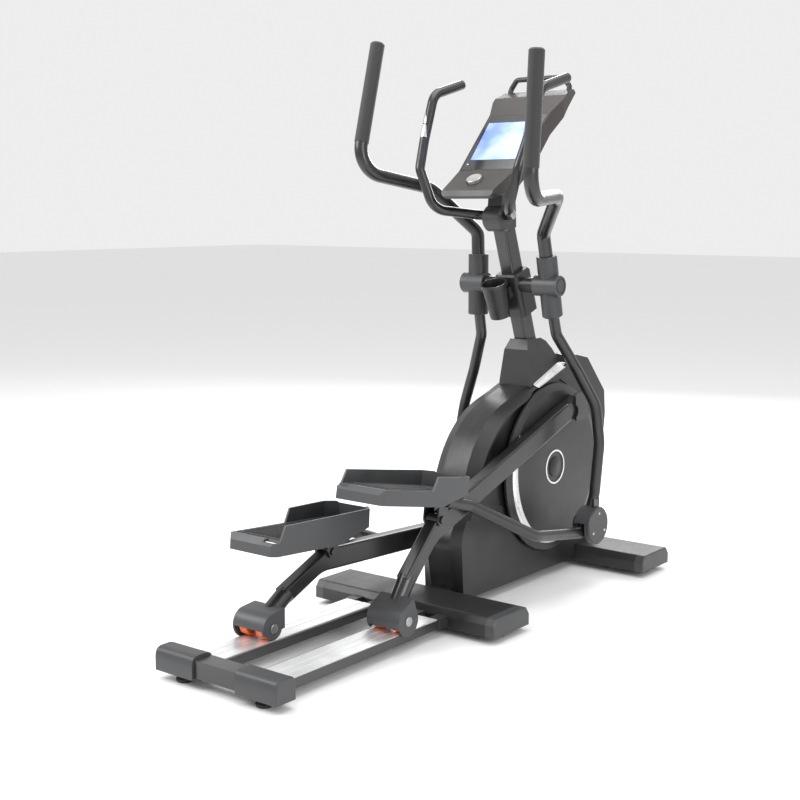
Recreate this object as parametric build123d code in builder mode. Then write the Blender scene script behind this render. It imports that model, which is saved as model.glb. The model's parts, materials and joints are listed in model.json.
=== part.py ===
from build123d import *
import os
from math import asin, acos, atan2, cos, degrees, hypot, pi, radians, sin

# Elliptical trainer. Millimetres. +X is the user's right, +Y the front, +Z up.
# The origin is on the floor, at the centre of the base.

os.makedirs("parts", exist_ok=True)

# ---- driving dimensions ----
base_half_length = 950.0
track_top = 58.0
crank_y, crank_z = 578.0, 393.0
crank_radius = 224.3
crank_lead = radians(22.5)          # right crank pin, forward of straight up
roller_radius = 34.7
roller_height = track_top + roller_radius + 0.3
arm_length = 1139.0                 # roller axle to crank pin
knee_along, knee_up = 339.0, 107.0  # bend of the roller arm, from the axle
hinge_along, hinge_up = 301.0, 136.0  # pedal hinge on the roller arm
link_length = 742.0                 # pedal hinge to lower handle pivot
handle_y, handle_z = 447.5, 1021.5  # upper handle pivot
handle_length = 822.0               # upper to lower handle pivot
arm_x, arm_width, arm_depth = 126.0, 42.0, 66.0
disc_radius, disc_inner_x, disc_outer_x = 288.0, 92.5, 101.0
shroud_half, shroud_wall = 78.0, 4.0
mast_lean = radians(20.1)
mast_width, mast_depth, mast_wall = 50.0, 64.0, 3.0
mast_mid = Vector(0, 412.7, 1168.0)   # a point on the mast's centre line
gap = 0.3
running = 0.05


def save(piece, label):
    piece.part.label = label
    export_step(piece.part, f"parts/{label}.step")


def side_plane(x, pivot, angle):
    """Plane across X through a pivot: first axis along the member, second up."""
    return Plane(origin=(x, pivot[0], pivot[1]), x_dir=(0, cos(angle), sin(angle)), z_dir=(1, 0, 0))


def place(sign, pivot, angle, x, along, up):
    """A point of a member, from its pivot, as a point of the machine."""
    y = pivot[0] + along * cos(angle) - up * sin(angle)
    z = pivot[1] + along * sin(angle) + up * cos(angle)
    return Vector(sign * x, y, z)


def circle_meet(a, ra, b, rb):
    """Where circles about a and b meet, on the side that lies further forward."""
    dy, dz = b[0] - a[0], b[1] - a[1]
    span = hypot(dy, dz)
    along = (ra * ra - rb * rb + span * span) / (2 * span)
    off = (ra * ra - along * along) ** 0.5
    return (a[0] + (along * dy + off * dz) / span, a[1] + (along * dz - off * dy) / span)


def linkage(lead):
    """Pivots and angles of one side, from its crank angle."""
    pin = (crank_y + crank_radius * sin(lead), crank_z + crank_radius * cos(lead))
    pitch = asin((pin[1] - roller_height) / arm_length)
    axle = (pin[0] - arm_length * cos(pitch), roller_height)
    hinge = (axle[0] + hinge_along * cos(pitch) - hinge_up * sin(pitch),
             axle[1] + hinge_along * sin(pitch) + hinge_up * cos(pitch))
    knuckle = circle_meet(hinge, link_length, (handle_y, handle_z), handle_length)
    tilt = atan2(knuckle[1] - hinge[1], knuckle[0] - hinge[0])
    swing = atan2(knuckle[0] - handle_y, handle_z - knuckle[1])
    return {"pin": pin, "pitch": pitch, "axle": axle, "hinge": hinge, "knuckle": knuckle,
            "tilt": tilt, "swing": swing}


sides = (("right", 1, linkage(crank_lead)), ("left", -1, linkage(crank_lead + pi)))
# ================= base =================
rear_tube_y, rear_tube_depth, rear_tube_z, rear_tube_height = -911.5, 60.0, 55.0, 50.0
rear_cap_out, rear_cap_in = 228.0, 80.0
cross_y = (-60.0, 854.5)
cross_depth, cross_z, cross_height, cross_half = 60.0, 48.0, 40.0, 325.0
cover_depth, cover_bottom, cover_top, cover_half, end_cap_half = 190.0, 20.0, 77.0, 318.0, 352.0
cover_wall = 3.5
beam_half, beam_low, beam_high = 36.0, 28.0, 68.0
beam_start, beam_end = cross_y[0] + cross_depth / 2, cross_y[1] - cross_depth / 2


def cover_section(y, inset):
    """Cross-section of a stabiliser cover: Y across the sketch, Z up it."""
    low, top, half = cover_bottom, cover_top - inset, cover_depth / 2 - inset
    with BuildSketch() as section:
        with BuildLine():
            Polyline((y - half, low), (y - half, top - 22), (y - half + 16, top), (y + half - 16, top),
                     (y + half, top - 22), (y + half, low), close=True)
        make_face()
        fillet(section.vertices().sort_by(Axis.Y)[2:], 9)
    return section.sketch


def box_tube(x_half, y, depth, z, height, wall):
    """Rectangular tube lying along X."""
    with BuildPart() as tube:
        with BuildSketch(Plane.YZ.offset(-x_half)):
            with Locations((y, z)):
                Rectangle(depth, height)
                Rectangle(depth - 2 * wall, height - 2 * wall, mode=Mode.SUBTRACT)
        extrude(amount=2 * x_half)
    return tube.part


with BuildPart() as rear_stabiliser:
    add(box_tube(215, rear_tube_y, rear_tube_depth, rear_tube_z, rear_tube_height, 2.5))
save(rear_stabiliser, "rear_stabiliser")

with BuildPart() as cross_tubes:
    for y in cross_y:
        add(box_tube(cross_half, y, cross_depth, cross_z, cross_height, 2.5))
save(cross_tubes, "cross_tubes")

with BuildPart() as rear_stabiliser_caps:
    half = 38.5
    for sign in (1, -1):
        with BuildSketch(Plane.YZ.offset(sign * rear_cap_in)):
            with BuildLine():
                Polyline((rear_tube_y + half, 60), (rear_tube_y + half, 25), (rear_tube_y - half, 25),
                         (rear_tube_y - half, 60))
                Spline((rear_tube_y - half, 60), (rear_tube_y, 90), (rear_tube_y + half, 60),
                       tangents=((0, 1), (0, -1)))
            make_face()
        extrude(amount=sign * (rear_cap_out - rear_cap_in))
    for end in (0, -1):
        rim = rear_stabiliser_caps.faces().filter_by(Axis.X).sort_by(Axis.X)[end].edges().sort_by(Axis.Z)
        chamfer(rim[1:], 4)
    with BuildSketch(Plane.YZ.offset(-215 - gap)):
        with Locations((rear_tube_y, rear_tube_z - 10)):
            Rectangle(rear_tube_depth + 2 * gap, rear_tube_height + 20)
    extrude(amount=430 + 2 * gap, mode=Mode.SUBTRACT)
    with BuildSketch(Plane.XY.offset(20)):
        with Locations((122, -877), (-122, -877)):
            Rectangle(118, 16)
    extrude(amount=38.5, mode=Mode.SUBTRACT)
save(rear_stabiliser_caps, "rear_stabiliser_caps")


def mast_plane(along):
    """Plane across the mast, at a distance up from its reference point."""
    axis = Vector(0, -sin(mast_lean), cos(mast_lean))
    return Plane(origin=mast_mid + axis * along, x_dir=(1, 0, 0), z_dir=axis)


def mast_bar(width, depth, low, high):
    """A bar in the mast's direction, between two distances along it."""
    with BuildPart() as bar:
        with BuildSketch(mast_plane(low)):
            Rectangle(width, depth)
        extrude(amount=high - low)
    return bar.part


def mast_side(z, offset):
    """Where a line along the mast, offset to the front, stands at a height."""
    return mast_mid.Y + (mast_mid.Z - z) * sin(mast_lean) / cos(mast_lean) + offset / cos(mast_lean)


mast_low, mast_high = -1200.0, 50.0
rail_width, rail_top, rail_wall = 30.0, 55.5, 2.0
rail_x = (79.0, 165.0)
rail_start, rail_end = rear_tube_y + rear_tube_depth / 2, cross_y[0] - cross_depth / 2
socket_length, socket_rim = 45.0, 3.5
rear_of_mid_cover = cross_y[0] - cover_depth / 2


def rails(grow, top, start, end):
    """The four square rails, or a hole for them, between two places along Y."""
    with BuildPart() as bars:
        with BuildSketch(Plane.XY.offset(beam_low - grow)):
            for x in rail_x:
                with Locations((x, (start + end) / 2), (-x, (start + end) / 2)):
                    Rectangle(rail_width + 2 * grow, end - start)
        extrude(amount=top + grow - beam_low + grow)
    return bars.part


with BuildPart() as stabiliser_covers:
    for y in cross_y:
        with BuildSketch(Plane.YZ.offset(-cover_half)):
            add(cover_section(y, 0))
            add(cover_section(y, cover_wall), mode=Mode.SUBTRACT)
            with Locations((y, cover_bottom)):
                Rectangle(cover_depth - 2 * cover_wall, 8, mode=Mode.SUBTRACT)
        extrude(amount=2 * cover_half)
    with BuildSketch(Plane.XY.offset(15)):
        with Locations((0, (beam_start + beam_end) / 2)):
            Rectangle(2 * beam_half + 1, beam_end - beam_start)
    extrude(amount=beam_high - 15 + 0.5, mode=Mode.SUBTRACT)
    add(mast_bar(mast_width + 1, mast_depth + 1, mast_low, -900), mode=Mode.SUBTRACT)
    add(rails(0.4, rail_top, rail_start, rail_end), mode=Mode.SUBTRACT)
    with BuildSketch(Plane.XY.offset(beam_high)):
        with Locations((0, cross_y[1] - 33)):
            Rectangle(80, 124)
    extrude(amount=20, mode=Mode.SUBTRACT)
save(stabiliser_covers, "stabiliser_covers")

with BuildPart() as stabiliser_end_caps:
    for y in cross_y:
        for sign in (1, -1):
            with BuildSketch(Plane.YZ.offset(sign * (cover_half + gap))):
                add(cover_section(y, 0))
            extrude(amount=sign * (end_cap_half - cover_half - gap))
    ends = stabiliser_end_caps.faces().filter_by(Axis.X).filter_by(
        lambda f: abs(f.center().X) > end_cap_half - 1)
    chamfer(ends.edges().filter_by(lambda e: e.center().Z > cover_bottom + 1), 4)
    for y in cross_y:
        for sign in (1, -1):
            with BuildSketch(Plane.YZ.offset(sign * cover_half)):
                add(cover_section(y, cover_wall))
                with Locations((y, cover_bottom)):
                    Rectangle(cover_depth - 2 * cover_wall, 8)
            extrude(amount=sign * 20, mode=Mode.SUBTRACT)
save(stabiliser_end_caps, "stabiliser_end_caps")

with BuildPart() as levelling_feet:
    for x, y, seat in ((150, rear_tube_y, 30), (300, cross_y[0], 28), (300, cross_y[1], 28)):
        for sign in (1, -1):
            with BuildSketch(Plane(origin=(sign * x, y, 0), x_dir=(1, 0, 0), z_dir=(0, -1, 0))):
                with BuildLine():
                    Polyline((0, 0), (22, 0), (24, 3), (24, 8), (14, 14), (6, 16), (6, seat), (0, seat),
                             close=True)
                make_face()
            revolve(axis=Axis((sign * x, y, 0), (0, 0, 1)))
save(levelling_feet, "levelling_feet")

with BuildPart() as track_rails:
    add(rails(0, rail_top, rail_start, rail_end))
    add(rails(-rail_wall, rail_top, rail_start - 1, rail_end + 1), mode=Mode.SUBTRACT)
save(track_rails, "track_rails")

with BuildPart() as track_sockets:
    add(rails(socket_rim, rail_top, rear_of_mid_cover - socket_length, rear_of_mid_cover))
    chamfer(track_sockets.faces().sort_by(Axis.Y)[0:4].edges(), 1.5)
    add(rails(0, rail_top, rail_start, rail_end), mode=Mode.SUBTRACT)
save(track_sockets, "track_sockets")

plate_in, plate_out = 71.0, 177.0
plate_end = rear_of_mid_cover - socket_length
with BuildPart() as track_plates:
    for sign in (1, -1):
        middle = sign * (plate_in + plate_out) / 2
        with BuildSketch(Plane.XY.offset(rail_top)):
            with Locations((middle, (rail_start + plate_end) / 2)):
                Rectangle(plate_out - plate_in, plate_end - rail_start)
        extrude(amount=track_top - rail_top)
        with BuildSketch(Plane.XY.offset(track_top - 1)):
            with Locations((sign * 112.5, (rail_start + plate_end) / 2),
                           (sign * 142.5, (rail_start + plate_end) / 2)):
                Rectangle(3, plate_end - rail_start)
        extrude(amount=2, mode=Mode.SUBTRACT)
save(track_plates, "track_plates")

# ================= frame and mast =================
crank_shell_radius, crank_shell_half, bearing_radius, crank_shaft_radius = 34.0, 30.0, 27.0, 12.0
wheel_y, wheel_z, wheel_radius = 800.0, 330.0, 118.0
wheel_pulley_radius, drive_pulley_radius = 25.0, 150.0
wheel_shaft_radius = 10.0
belt_left, belt_right = -39.5, -32.5
belt_thick = 2.0
idler_radius, idler_stub_radius = 30.0, 6.0
pivot_radius = 15.0

with BuildPart() as main_frame:
    with BuildSketch(Plane.XZ.offset(-beam_start)):
        with Locations((0, (beam_low + beam_high) / 2)):
            Rectangle(2 * beam_half, beam_high - beam_low)
            Rectangle(2 * beam_half - 6, beam_high - beam_low - 6, mode=Mode.SUBTRACT)
    extrude(amount=-(beam_end - beam_start))
    with BuildSketch(Plane.XY.offset(beam_high)):
        with Locations((0, crank_y)):
            Rectangle(50, 56)
            Rectangle(44, 50, mode=Mode.SUBTRACT)
    extrude(amount=crank_z - beam_high)
    with BuildSketch(Plane.YZ.offset(-20)):
        with BuildLine():
            Polyline((crank_y, crank_z - 20), (crank_y, crank_z + 20),
                     (mast_side(crank_z + 20, -mast_depth / 2), crank_z + 20),
                     (mast_side(crank_z - 20, -mast_depth / 2), crank_z - 20), close=True)
        make_face()
    extrude(amount=40)
    for sign in (1, -1):
        with BuildSketch(Plane.YZ.offset(sign * mast_width / 2)):
            with BuildLine():
                Polyline((740, beam_high), (820, beam_high), (822, wheel_z - 10), (wheel_y + 10, wheel_z + 22),
                         (wheel_y - 10, wheel_z + 22), (735, wheel_z), (735, 250), close=True)
            make_face()
            with Locations((wheel_y, wheel_z)):
                Circle(wheel_shaft_radius, mode=Mode.SUBTRACT)
        extrude(amount=sign * 5)
    with BuildSketch(Plane.YZ.offset(-crank_shell_half)):
        with Locations((crank_y, crank_z)):
            Circle(crank_shell_radius)
    extrude(amount=2 * crank_shell_half)
    with BuildSketch(Plane.YZ.offset(-crank_shell_half)):
        with Locations((crank_y, crank_z)):
            Circle(bearing_radius)
    extrude(amount=2 * crank_shell_half, mode=Mode.SUBTRACT)
save(main_frame, "main_frame")

with BuildPart() as crank_bearings:
    for sign in (1, -1):
        with BuildSketch(Plane.YZ.offset(sign * 14)):
            with Locations((crank_y, crank_z)):
                Circle(bearing_radius)
                Circle(crank_shaft_radius + running, mode=Mode.SUBTRACT)
        extrude(amount=sign * 15)
save(crank_bearings, "crank_bearings")

with BuildPart() as mast:
    add(mast_bar(mast_width, mast_depth, mast_low, mast_high))
    fillet(mast.edges().filter_by(lambda e: e.length > 1000), 8)
    add(mast_bar(mast_width - 2 * mast_wall, mast_depth - 2 * mast_wall, mast_low, mast_high),
        mode=Mode.SUBTRACT)
    split(bisect_by=Plane.XY.offset(beam_high), keep=Keep.TOP)
    with BuildSketch(Plane.YZ.offset(-60)):
        with Locations((handle_y, handle_z)):
            Circle(pivot_radius)
    extrude(amount=120, mode=Mode.SUBTRACT)
save(mast, "mast")

housing_low, housing_high, housing_half = -258.0, -108.0, 46.0
housing_depth = 92.0
hub_end = 98.0
with BuildPart() as pivot_housing:
    add(mast_bar(2 * housing_half, housing_depth, housing_low, housing_high))
    fillet(pivot_housing.edges().filter_by(lambda e: e.length > 140), 16)
    chamfer(pivot_housing.faces().sort_by(Axis.Z)[-1].edges(), 6)
    with BuildSketch(Plane.YZ.offset(-hub_end)):
        with Locations((handle_y, handle_z)):
            Circle(25)
    extrude(amount=2 * hub_end)
    chamfer(pivot_housing.faces().filter_by(Axis.X).sort_by(Axis.X)[0].edges(), 3)
    chamfer(pivot_housing.faces().filter_by(Axis.X).sort_by(Axis.X)[-1].edges(), 3)
    add(mast_bar(mast_width, mast_depth, housing_low - 10, housing_high + 60), mode=Mode.SUBTRACT)
    with BuildSketch(Plane.YZ.offset(-hub_end - 1)):
        with Locations((handle_y, handle_z)):
            Circle(pivot_radius)
    extrude(amount=2 * hub_end + 2, mode=Mode.SUBTRACT)
save(pivot_housing, "pivot_housing")

axle_end = 172.0
with BuildPart() as pivot_axle:
    with BuildSketch(Plane.YZ.offset(-axle_end)):
        with Locations((handle_y, handle_z)):
            Circle(pivot_radius)
    extrude(amount=2 * axle_end)
    chamfer(pivot_axle.edges().filter_by(GeomType.CIRCLE), 1.5)
save(pivot_axle, "pivot_axle")

cup_rim = Vector(-17, 366, 1028)
cup_axis = Vector(0, -sin(mast_lean), cos(mast_lean))
cup_height, cup_top_radius, cup_low_radius, cup_wall = 120.0, 43.0, 33.0, 3.0
with BuildPart() as cup_holder:
    cup_plane = Plane(origin=cup_rim - cup_axis * cup_height, x_dir=(1, 0, 0), z_dir=cup_axis)
    with BuildSketch(cup_plane.offset(55)):
        with Locations((17, 44)):
            Rectangle(44, 46)
    extrude(amount=40)
    with BuildSketch(Plane(origin=cup_plane.origin, x_dir=(1, 0, 0), z_dir=-cup_plane.y_dir)):
        with BuildLine():
            Polyline((0, 0), (cup_low_radius, 0), (cup_top_radius - 2, cup_height - 14),
                     (cup_top_radius + 1.5, cup_height - 12), (cup_top_radius + 1.5, cup_height), (0, cup_height),
                     close=True)
        make_face()
    revolve(axis=Axis(cup_plane.origin, cup_axis))
    with BuildSketch(Plane(origin=cup_plane.origin, x_dir=(1, 0, 0), z_dir=-cup_plane.y_dir)):
        with BuildLine():
            Polyline((0, cup_wall), (cup_low_radius - cup_wall, cup_wall),
                     (cup_top_radius - cup_wall, cup_height + 1), (0, cup_height + 1), close=True)
        make_face()
    revolve(axis=Axis(cup_plane.origin, cup_axis), mode=Mode.SUBTRACT)
    add(mast_bar(2 * housing_half, housing_depth, housing_low - 40, housing_high + 60), mode=Mode.SUBTRACT)
    with BuildSketch(Plane.YZ.offset(-hub_end)):
        with Locations((handle_y, handle_z)):
            Circle(36 + gap)
    extrude(amount=2 * hub_end, mode=Mode.SUBTRACT)
save(cup_holder, "cup_holder")

# ================= shroud and neck =================
side_back = [(75, 198), (108, 317), (163, 452), (201, 514), (319, 611), (453, 657)]
spine_back = [(41, 198), (91, 317), (128, 432), (187, 535), (270, 606), (440, 667)]
side_rest = [(500, 676), (655, 730), (672, 764), (750, 762), (826, 746), (950, 616), (960, 532), (941, 368),
             (912, 206), (899, 77.5), (758, 77.5), (757, 31), (78, 31)]
spine_rest = [(500, 688), (655, 745), (672, 772), (750, 768), (830, 750), (950, 620), (960, 532), (941, 368),
              (912, 206), (899, 77.5), (758, 77.5), (757, 31), (74, 31)]
spine_half, panel_half, shoulder_half = 45.0, 76.0, 88.0
hollow_share = 0.985
cavity_half = 66.0


def shroud_block(sign):
    """Outer form of one half of the shroud."""
    with BuildPart() as block:
        with BuildSketch(Plane.YZ):
            with BuildLine():
                Spline(*spine_back, tangents=((-0.15, 1), (1, 0.32)))
                Polyline(spine_back[-1], *spine_rest, spine_back[0])
            make_face()
        extrude(amount=sign * spine_half)
        with BuildSketch(Plane.YZ.offset(sign * spine_half)):
            with BuildLine():
                Spline(*spine_back, tangents=((-0.15, 1), (1, 0.32)))
                Polyline(spine_back[-1], *spine_rest, spine_back[0])
            make_face()
        with BuildSketch(Plane.YZ.offset(sign * shoulder_half)):
            with BuildLine():
                Spline(*side_back, tangents=((-0.15, 1), (1, 0.32)))
                Polyline(side_back[-1], *side_rest, side_back[0])
            make_face()
        loft(ruled=True)
    return block.part


shroud_middle = (540.0, 380.0)


def drawn_in(points, share):
    """Points moved towards the middle of the shroud."""
    y, z = shroud_middle
    return [(y + (p[0] - y) * share, z + (p[1] - z) * share) for p in points]


for label, sign in (("shroud_right", 1), ("shroud_left", -1)):
    with BuildPart() as shroud:
        add(shroud_block(sign))
        with BuildSketch(Plane.YZ.offset(sign * panel_half)):
            with BuildLine():
                Polyline((455, 650), (500, 668), (655, 722), (680, 800), (1000, 800), (1000, 0), (0, 0), (0, 290),
                         (102, 290))
                Spline((102, 290), (170, 449), (206, 508), (322, 604), (455, 650), tangents=((0.3, 1), (1, 0.32)))
            make_face()
        extrude(amount=sign * 30, mode=Mode.SUBTRACT)
        with BuildSketch(Plane.YZ.offset(sign * 71)):
            with BuildLine():
                Polyline((456, 643), (500, 660), (640, 690), (700, 660), (600, 300), (300, 300), (150, 340))
                Spline((150, 340), (176, 446), (211, 503), (326, 599), (456, 643), tangents=((0.2, 1), (1, 0.32)))
            make_face()
            with Locations((crank_y, crank_z)):
                Circle(disc_radius + 6)
        extrude(amount=sign * 30, mode=Mode.SUBTRACT)
        for back, rest, width in ((spine_back, spine_rest, spine_half - 4), (side_back, side_rest, cavity_half)):
            back, rest = drawn_in(back, hollow_share), drawn_in(rest, hollow_share)
            with BuildSketch(Plane.YZ):
                with BuildLine():
                    Spline(*back, tangents=((-0.15, 1), (1, 0.32)))
                    Polyline(back[-1], *rest, back[0])
                make_face()
            extrude(amount=sign * width, mode=Mode.SUBTRACT)
        with BuildSketch(Plane.YZ):
            Rectangle(2000, 2 * (beam_high + 0.5))
            with Locations((500, 0)):
                Rectangle(760 - 84, 120)
        extrude(amount=sign * (beam_half + 0.5), mode=Mode.SUBTRACT)
        with BuildSketch(Plane.YZ):
            with Locations((420, 40)):
                Rectangle(660, 60)
            with Locations((805, 79)):
                Rectangle(134, 24)
        extrude(amount=sign * cavity_half, mode=Mode.SUBTRACT)
        with BuildSketch(Plane.YZ):
            with Locations((crank_y, crank_z)):
                Circle(36)
        extrude(amount=sign * 100, mode=Mode.SUBTRACT)
        with BuildSketch(Plane.YZ):
            with BuildLine():
                Polyline((505, 650), (505, 800), (650, 800), (650, 650), close=True)
            make_face()
        extrude(amount=sign * 30, mode=Mode.SUBTRACT)
    save(shroud, label)

neck_profile = [(477, 640), (479, 800), (495, 834), (580, 834), (606, 822), (650, 772), (668, 740), (668, 640)]
neck_hollow = [(481, 630), (483, 798), (498, 830), (578, 830), (602, 819), (645, 770), (664, 738), (664, 630)]


def neck_block(profile, trim):
    """Block of the neck cover: its side profile, narrowing upwards."""
    with BuildPart() as block:
        with BuildSketch(Plane.YZ.offset(-70)):
            with BuildLine():
                Polyline(*profile, close=True)
            make_face()
        extrude(amount=140)
        for sign in (1, -1):
            with BuildSketch(Plane.XZ.offset(-400)):
                with BuildLine():
                    Polyline((sign * (66 - trim), 600), (sign * (65 - trim), 690), (sign * (48 - trim), 795),
                             (sign * (33 - trim), 836), (sign * 120, 836), (sign * 120, 600), close=True)
                make_face()
            extrude(amount=-400, mode=Mode.SUBTRACT)
    return block.part


with BuildPart() as neck_cover:
    add(neck_block(neck_profile, 0))
    add(neck_block(neck_hollow, 4), mode=Mode.SUBTRACT)
    add(mast_bar(mast_width + 1, mast_depth + 1, -700, -200), mode=Mode.SUBTRACT)
    for sign in (1, -1):
        add(shroud_block(sign), mode=Mode.SUBTRACT)
save(neck_cover, "neck_cover")


def bent_tube(points, radius, wall, bends):
    """A round tube along straight runs joined by bends."""
    with BuildPart() as tube:
        with BuildLine():
            spine = FilletPolyline(*points, radius=bends)
        with BuildSketch(Plane(origin=spine @ 0, z_dir=spine % 0)):
            Circle(radius)
            if wall:
                Circle(radius - wall, mode=Mode.SUBTRACT)
        sweep(path=spine)
    return tube.part


def bar(start, end, radius):
    """A straight round bar between two points."""
    with BuildPart() as rod:
        with BuildSketch(Plane(origin=start, z_dir=end - start)):
            Circle(radius)
        extrude(amount=(end - start).length)
    return rod.part


# ================= fixed handlebar and console =================
rest_radius = 16.0
rest_half = [(60, 352, 1250), (145, 205, 1268), (190, 190, 1400), (200, 227, 1491), (205, 285, 1640),
             (205, 440, 1682)]
rest_points = [(-x, y, z) for x, y, z in reversed(rest_half)] + rest_half

with BuildPart() as fixed_handlebar:
    add(bent_tube(rest_points, rest_radius, 2.5, [60, 40, 40, 60, 30, 30, 60, 40, 40, 60]))
    for sign in (1, -1):
        x, y, z = rest_half[-1]
        back = Vector(0, 285 - 440, 1640 - 1682).normalized()
        tip = Vector(sign * x, y, z)
        add(bar(tip + back * 14, tip, rest_radius - 2.5))
save(fixed_handlebar, "fixed_handlebar")

with BuildPart() as pulse_sensors:
    for sign in (1, -1):
        low, high = Vector(sign * 200.2, 228.9, 1496), Vector(sign * 202.9, 260.8, 1578)
        add(bar(low, high, rest_radius + 2))
        add(bar(low + (high - low) * 0.47, low + (high - low) * 0.53, rest_radius + 4), mode=Mode.SUBTRACT)
    add(bent_tube(rest_points, rest_radius, 0, [60, 40, 40, 60, 30, 30, 60, 40, 40, 60]), mode=Mode.SUBTRACT)
    for sign in (1, -1):
        outward = Vector(sign * 0.75, -0.66, 0)
        with BuildSketch(Plane(origin=Vector(sign * 201.5, 245, 1537) + outward * 5, z_dir=-outward)):
            Rectangle(120, 120)
        extrude(amount=40, mode=Mode.SUBTRACT)
save(pulse_sensors, "pulse_sensors")

console_side = [(179, 1310), (186, 1328), (291, 1391), (483, 1581), (531, 1626), (545, 1640), (600, 1662),
                (612, 1652), (560, 1600), (400, 1410), (310, 1335), (215, 1304), (186, 1302)]
console_plan = [(96, 178), (84, 186), (107, 291), (119, 483), (140, 531), (134, 614), (125, 557), (122, 400),
                (100, 300)]
screen_low, screen_high = Vector(0, 291, 1391), Vector(0, 483, 1581)
screen_slope = atan2(190, 192)
screen_plane = Plane(origin=(0, 387, 1486), x_dir=(1, 0, 0), z_dir=(0, -sin(screen_slope), cos(screen_slope)))
panel_slope = atan2(63, 105)
panel_plane = Plane(origin=(0, 238.5, 1359.5), x_dir=(1, 0, 0), z_dir=(0, -sin(panel_slope), cos(panel_slope)))
dial_radius, dial_height, dial_x = 25.0, 15.0, -6.0
loop_points = [(-116, 588, 1628), (-116, 606, 1672), (-91, 604, 1703), (91, 604, 1703), (116, 606, 1672),
               (116, 588, 1628)]
loop_radius = 9.0

with BuildPart() as console_housing:
    with BuildSketch(Plane.YZ.offset(-140)):
        with BuildLine():
            Polyline(*console_side, close=True)
        make_face()
    extrude(amount=280)
    for sign in (1, -1):
        with BuildSketch(Plane.XY.offset(1280)):
            with BuildLine():
                Polyline((sign * 96, 170), (sign * 98, 182), (sign * 107, 291), (sign * 119, 483),
                         (sign * 140, 531), (sign * 136, 620), (sign * 200, 620), (sign * 200, 170), close=True)
            make_face()
        extrude(amount=420, mode=Mode.SUBTRACT)
        with BuildSketch(Plane.XZ.offset(-140)):
            with BuildLine():
                Polyline((sign * 80, 1300), (sign * 98, 1318), (sign * 120, 1318), (sign * 120, 1300), close=True)
            make_face()
        extrude(amount=-120, mode=Mode.SUBTRACT)
    chamfer(console_housing.faces().sort_by(Axis.Y)[-1].edges(), 3)
    with BuildSketch(screen_plane.offset(-3)):
        with BuildLine():
            Polyline((-100, -127), (100, -127), (111, 127), (-111, 127), close=True)
        make_face()
    extrude(amount=10, mode=Mode.SUBTRACT)
    with BuildSketch(Plane.YZ.offset(-90)):
        with BuildLine():
            Polyline((232, 1345), (300, 1385), (480, 1564), (520, 1604), (540, 1600), (400, 1428), (312, 1352),
                     (240, 1330), close=True)
        make_face()
    extrude(amount=180, mode=Mode.SUBTRACT)
    with BuildSketch(panel_plane.offset(-3)):
        with Locations((dial_x, -2)):
            Circle(dial_radius + 3)
    extrude(amount=10, mode=Mode.SUBTRACT)
    with BuildSketch(panel_plane.offset(-20)):
        with Locations((dial_x, -2)):
            Circle(5 + running)
    extrude(amount=30, mode=Mode.SUBTRACT)
    add(bent_tube(loop_points, loop_radius, 0, 20), mode=Mode.SUBTRACT)
save(console_housing, "console_housing")

with BuildPart() as display_glass:
    with BuildSketch(screen_plane.offset(-3)):
        with BuildLine():
            Polyline((-100, -127), (100, -127), (111, 127), (-111, 127), close=True)
        make_face()
    extrude(amount=3.2)
save(display_glass, "display_glass")

with BuildPart() as console_handle:
    add(bent_tube(loop_points, loop_radius, 0, 20))
save(console_handle, "console_handle")

with BuildPart() as jog_dial:
    with BuildSketch(panel_plane.offset(-2.7)):
        with Locations((dial_x, -2)):
            Circle(dial_radius)
    extrude(amount=dial_height)
    chamfer(jog_dial.edges().filter_by(GeomType.CIRCLE).sort_by(Axis.Z)[-1], 1.5)
    with BuildSketch(panel_plane.offset(-2.7)):
        with Locations((dial_x, -2)):
            Circle(5)
    extrude(amount=-5)
save(jog_dial, "jog_dial")

with BuildPart() as handlebar_clamp:
    with BuildSketch(Plane.YZ.offset(-36)):
        with Locations((360, 1240)):
            Circle(43)
    extrude(amount=72)
    chamfer(handlebar_clamp.edges().filter_by(GeomType.CIRCLE), 6)
    with BuildSketch(Plane.YZ.offset(-27)):
        with BuildLine():
            Polyline((338, 1240), (348, 1345), (386, 1388), (398, 1402), (420, 1400), (424, 1300), (428, 1250),
                     (430, 1212), (400, 1196), (370, 1210), close=True)
        make_face()
    extrude(amount=54)
    add(mast_bar(mast_width, mast_depth, -200, mast_high), mode=Mode.SUBTRACT)
    add(bent_tube(rest_points, rest_radius, 0, [60, 40, 40, 60, 30, 30, 60, 40, 40, 60]), mode=Mode.SUBTRACT)
    add(console_housing.part, mode=Mode.SUBTRACT)
    with BuildSketch(Plane.YZ.offset(-50)):
        with BuildLine():
            Polyline((291, 1392), (483, 1584), (520, 1620), (400, 1700), (200, 1500), close=True)
        make_face()
        with BuildLine():
            Polyline((232, 1345), (300, 1385), (480, 1564), (520, 1604), (540, 1600), (400, 1428), (312, 1352),
                     (240, 1330), close=True)
        make_face()
    extrude(amount=100, mode=Mode.SUBTRACT)
save(handlebar_clamp, "handlebar_clamp")

# ================= drive =================
with BuildPart() as crank_axle:
    with BuildSketch(Plane.YZ.offset(-97)):
        with Locations((crank_y, crank_z)):
            Circle(crank_shaft_radius)
    extrude(amount=194)
    chamfer(crank_axle.edges().filter_by(GeomType.CIRCLE), 1)
save(crank_axle, "crank_axle")

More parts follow.
